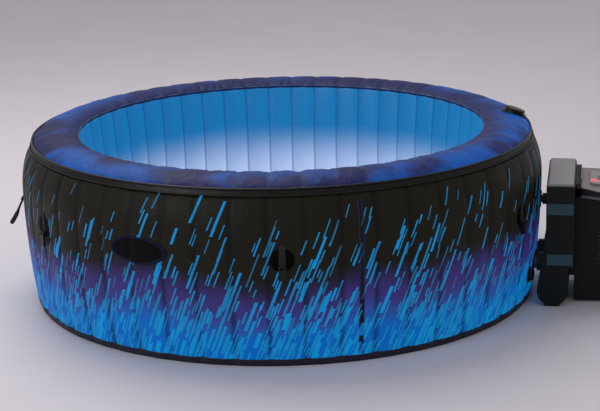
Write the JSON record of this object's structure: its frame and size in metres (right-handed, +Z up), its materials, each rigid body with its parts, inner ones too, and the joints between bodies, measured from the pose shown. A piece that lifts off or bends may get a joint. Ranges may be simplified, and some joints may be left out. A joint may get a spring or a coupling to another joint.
{
  "type": "inflatable hot tub",
  "caption": "Round inflatable hot tub with a padded rim, printed outer wall, cover latches, carry handles and a control base beside it.",
  "frame": {"origin": "centre of the tub's round base, on the ground", "axes": "+Z up, +X from the tub's centre to the control base"},
  "size_m": [2.7293, 2.1888, 0.7341],
  "materials": {
    "wall_vinyl": "satin",
    "rim_vinyl": "satin",
    "liner_vinyl": "satin",
    "base_vinyl": "matte",
    "piping_vinyl": "satin",
    "web_sheet": "matte",
    "badge_patch": "satin",
    "black_vinyl": "satin",
    "webbing": "matte",
    "black_plastic": "satin",
    "white_plastic": "satin",
    "pipe_plastic": "satin",
    "nut_plastic": "satin",
    "filter_paper": "matte",
    "rubber": "matte",
    "casing": "satin",
    "light_trim": "satin",
    "accent": "gloss",
    "panel_plastic": "gloss",
    "button_plastic": "satin",
    "display_glass": "gloss",
    "lamp_red": "gloss",
    "board": "satin",
    "steel": "satin"
  },
  "bodies": {
    "tub": {"accent_bands": "accent", "badge_plate": "badge_patch", "base_hem_band": "wall_vinyl", "base_plate": "casing", "blower_housing": "casing", "bubble_ring": "liner_vinyl", "control_board": "board", "control_hood": "light_trim", "control_panel": "panel_plastic", "cord_gland": "black_plastic", "display_window": "display_glass", "drain_valve_body": "black_plastic", "filter_cartridge": "filter_paper", "filter_housing": "white_plastic", "floor_liner": "liner_vinyl", "ground_sheet": "base_vinyl", "handle_anchors": "black_vinyl", "heater_tube": "steel", "housing_screws": "steel", "indicator_light": "lamp_red", "inner_wall": "liner_vinyl", "internal_pipes": "pipe_plastic", "latch_patches": "black_vinyl", "latch_webbing": "webbing", "main_housing": "casing", "outer_wall": "wall_vinyl", "pump_housing": "casing", "rim_piping": "piping_vinyl", "rim_seam_band": "rim_vinyl", "rim_valve_body": "black_plastic", "rubber_feet": "rubber", "top_rim": "rim_vinyl", "tower_housing": "casing", "tower_top_trim": "light_trim", "union_seals": "rubber", "wall_flanges": "black_plastic", "wall_pipes": "pipe_plastic", "wall_seam_strip": "wall_vinyl", "wall_webs": "web_sheet"},
    "latch_buckle_1": {"latch_buckle_1": "black_plastic"},
    "latch_buckle_2": {"latch_buckle_2": "black_plastic"},
    "latch_buckle_3": {"latch_buckle_3": "black_plastic"},
    "latch_buckle_4": {"latch_buckle_4": "black_plastic"},
    "latch_buckle_5": {"latch_buckle_5": "black_plastic"},
    "latch_buckle_6": {"latch_buckle_6": "black_plastic"},
    "carry_handle_left": {"carry_handle_left": "webbing"},
    "carry_handle_rear": {"carry_handle_rear": "webbing"},
    "rim_valve_cap": {"rim_valve_cap": "black_plastic"},
    "drain_valve_cap": {"drain_valve_cap": "black_plastic"},
    "filter_cap": {"filter_cap": "white_plastic"},
    "union_nut_supply": {"union_nut_supply": "nut_plastic"},
    "union_nut_return": {"union_nut_return": "nut_plastic"},
    "union_nut_air": {"union_nut_air": "nut_plastic"},
    "pump_rotor": {"pump_rotor": "pipe_plastic"},
    "blower_rotor": {"blower_rotor": "pipe_plastic"},
    "button_heat": {"button_heat": "button_plastic"},
    "button_filter": {"button_filter": "button_plastic"},
    "button_bubbles": {"button_bubbles": "button_plastic"},
    "button_warmer": {"button_warmer": "button_plastic"},
    "button_cooler": {"button_cooler": "button_plastic"}
  },
  "joints": [
    {"name": "latch_swing_1", "type": "hinge", "parent": "tub", "child": "latch_buckle_1", "pos_m": [-0.83327, -0.6992, 0.396], "axis": [-0.6428, 0.766, 0], "range_deg": [0, 80]},
    {"name": "latch_swing_2", "type": "hinge", "parent": "tub", "child": "latch_buckle_2", "pos_m": [0.18889, -1.07123, 0.396], "axis": [-0.9848, -0.1736, 0], "range_deg": [0, 80]},
    {"name": "latch_swing_3", "type": "hinge", "parent": "tub", "child": "latch_buckle_3", "pos_m": [1.02216, -0.37204, 0.396], "axis": [-0.342, -0.9397, 0], "range_deg": [0, 80]},
    {"name": "latch_swing_4", "type": "hinge", "parent": "tub", "child": "latch_buckle_4", "pos_m": [0.83327, 0.6992, 0.396], "axis": [0.6428, -0.766, 0], "range_deg": [0, 80]},
    {"name": "latch_swing_5", "type": "hinge", "parent": "tub", "child": "latch_buckle_5", "pos_m": [-0.18889, 1.07123, 0.396], "axis": [0.9848, 0.1736, 0], "range_deg": [0, 80]},
    {"name": "latch_swing_6", "type": "hinge", "parent": "tub", "child": "latch_buckle_6", "pos_m": [-1.02216, 0.37204, 0.396], "axis": [0.342, 0.9397, 0], "range_deg": [0, 80]},
    {"name": "handle_swing_left", "type": "hinge", "parent": "tub", "child": "carry_handle_left", "pos_m": [-1.07413, -0.1894, 0.41], "axis": [-0.1736, 0.9848, 0], "range_deg": [-26, 100]},
    {"name": "handle_swing_rear", "type": "hinge", "parent": "tub", "child": "carry_handle_rear", "pos_m": [0.37304, 1.02492, 0.41], "axis": [0.9397, -0.342, 0], "range_deg": [-26, 100]},
    {"name": "rim_valve_turn", "type": "hinge", "parent": "tub", "child": "rim_valve_cap", "pos_m": [0.9555, 0.2206, 0.70326], "axis": [0.3092, 0.0714, 0.9483], "range_deg": [0, 90]},
    {"name": "drain_valve_turn", "type": "hinge", "parent": "tub", "child": "drain_valve_cap", "pos_m": [1.03787, -0.20174, 0.125], "axis": [0.9816, -0.1908, 0], "range_deg": [0, 90]},
    {"name": "filter_cap_turn", "type": "hinge", "parent": "tub", "child": "filter_cap", "pos_m": [0.7117, -0.095, 0.15], "axis": [-1, 0, 0], "range_deg": [0, 45]},
    {"name": "union_nut_supply_turn", "type": "hinge", "parent": "tub", "child": "union_nut_supply", "pos_m": [1.084, -0.095, 0.15], "axis": [1, 0, 0], "continuous": true},
    {"name": "union_nut_return_turn", "type": "hinge", "parent": "tub", "child": "union_nut_return", "pos_m": [1.084, 0.095, 0.15], "axis": [1, 0, 0], "continuous": true},
    {"name": "union_nut_air_turn", "type": "hinge", "parent": "tub", "child": "union_nut_air", "pos_m": [1.095, 0, 0.39], "axis": [1, 0, 0], "continuous": true},
    {"name": "pump_spin", "type": "hinge", "parent": "tub", "child": "pump_rotor", "pos_m": [1.2623, -0.095, 0.15], "axis": [1, 0, 0], "continuous": true},
    {"name": "blower_spin", "type": "hinge", "parent": "tub", "child": "blower_rotor", "pos_m": [1.3503, 0, 0.35], "axis": [1, 0, 0], "continuous": true},
    {"name": "button_heat_press", "type": "slide", "parent": "tub", "child": "button_heat", "axis": [-0.1219, 0, -0.9925], "range_m": [0, 0.0015], "stiffness_N_per_m": 400, "springref_m": -0.0005},
    {"name": "button_filter_press", "type": "slide", "parent": "tub", "child": "button_filter", "axis": [-0.1219, 0, -0.9925], "range_m": [0, 0.0015], "stiffness_N_per_m": 400, "springref_m": -0.0005},
    {"name": "button_bubbles_press", "type": "slide", "parent": "tub", "child": "button_bubbles", "axis": [-0.1219, 0, -0.9925], "range_m": [0, 0.0015], "stiffness_N_per_m": 400, "springref_m": -0.0005},
    {"name": "button_warmer_press", "type": "slide", "parent": "tub", "child": "button_warmer", "axis": [-0.1219, 0, -0.9925], "range_m": [0, 0.0015], "stiffness_N_per_m": 400, "springref_m": -0.0005},
    {"name": "button_cooler_press", "type": "slide", "parent": "tub", "child": "button_cooler", "axis": [-0.1219, 0, -0.9925], "range_m": [0, 0.0015], "stiffness_N_per_m": 400, "springref_m": -0.0005}
  ]
}
